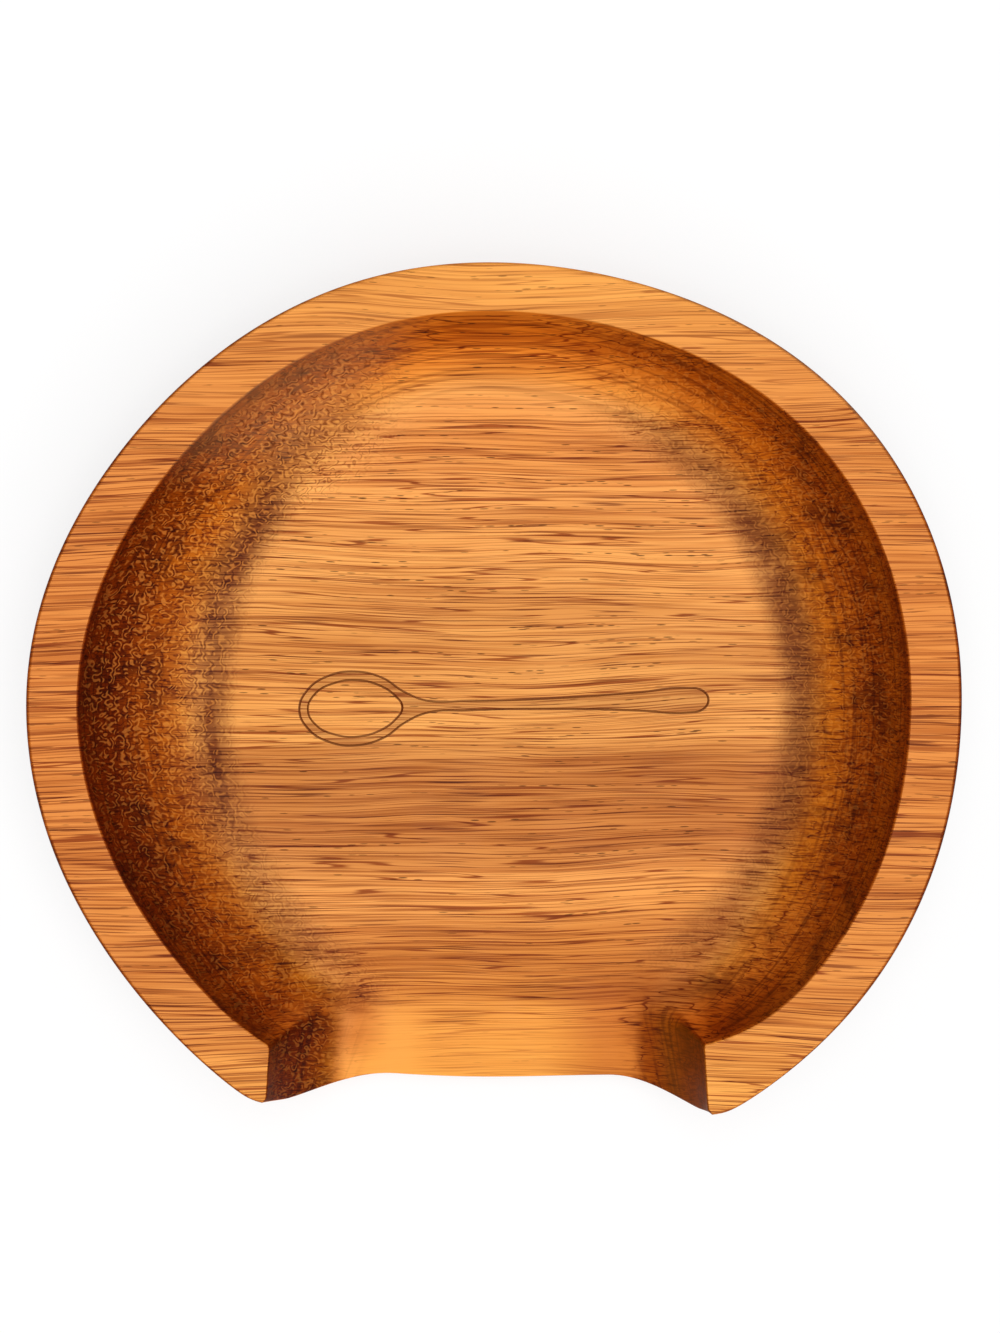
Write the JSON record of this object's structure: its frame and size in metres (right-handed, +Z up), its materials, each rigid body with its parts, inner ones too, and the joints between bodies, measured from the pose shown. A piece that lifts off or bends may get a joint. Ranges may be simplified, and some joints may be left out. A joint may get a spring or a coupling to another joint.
{
  "type": "spoon rest",
  "caption": "Round wooden spoon rest carved from one board, with a coved bowl for the spoon's head and an open mouth at the front for its handle.",
  "frame": {"origin": "on the flat base, under the middle of the board's box", "axes": "+X along the grain to the right, +Y to the back, away from the mouth, +Z up"},
  "size_m": [0.14, 0.1276, 0.02],
  "materials": {
    "oiled_acacia": "sanded and oiled, satin"
  },
  "bodies": {
    "root": {"carved_body": "oiled_acacia"}
  },
  "joints": []
}
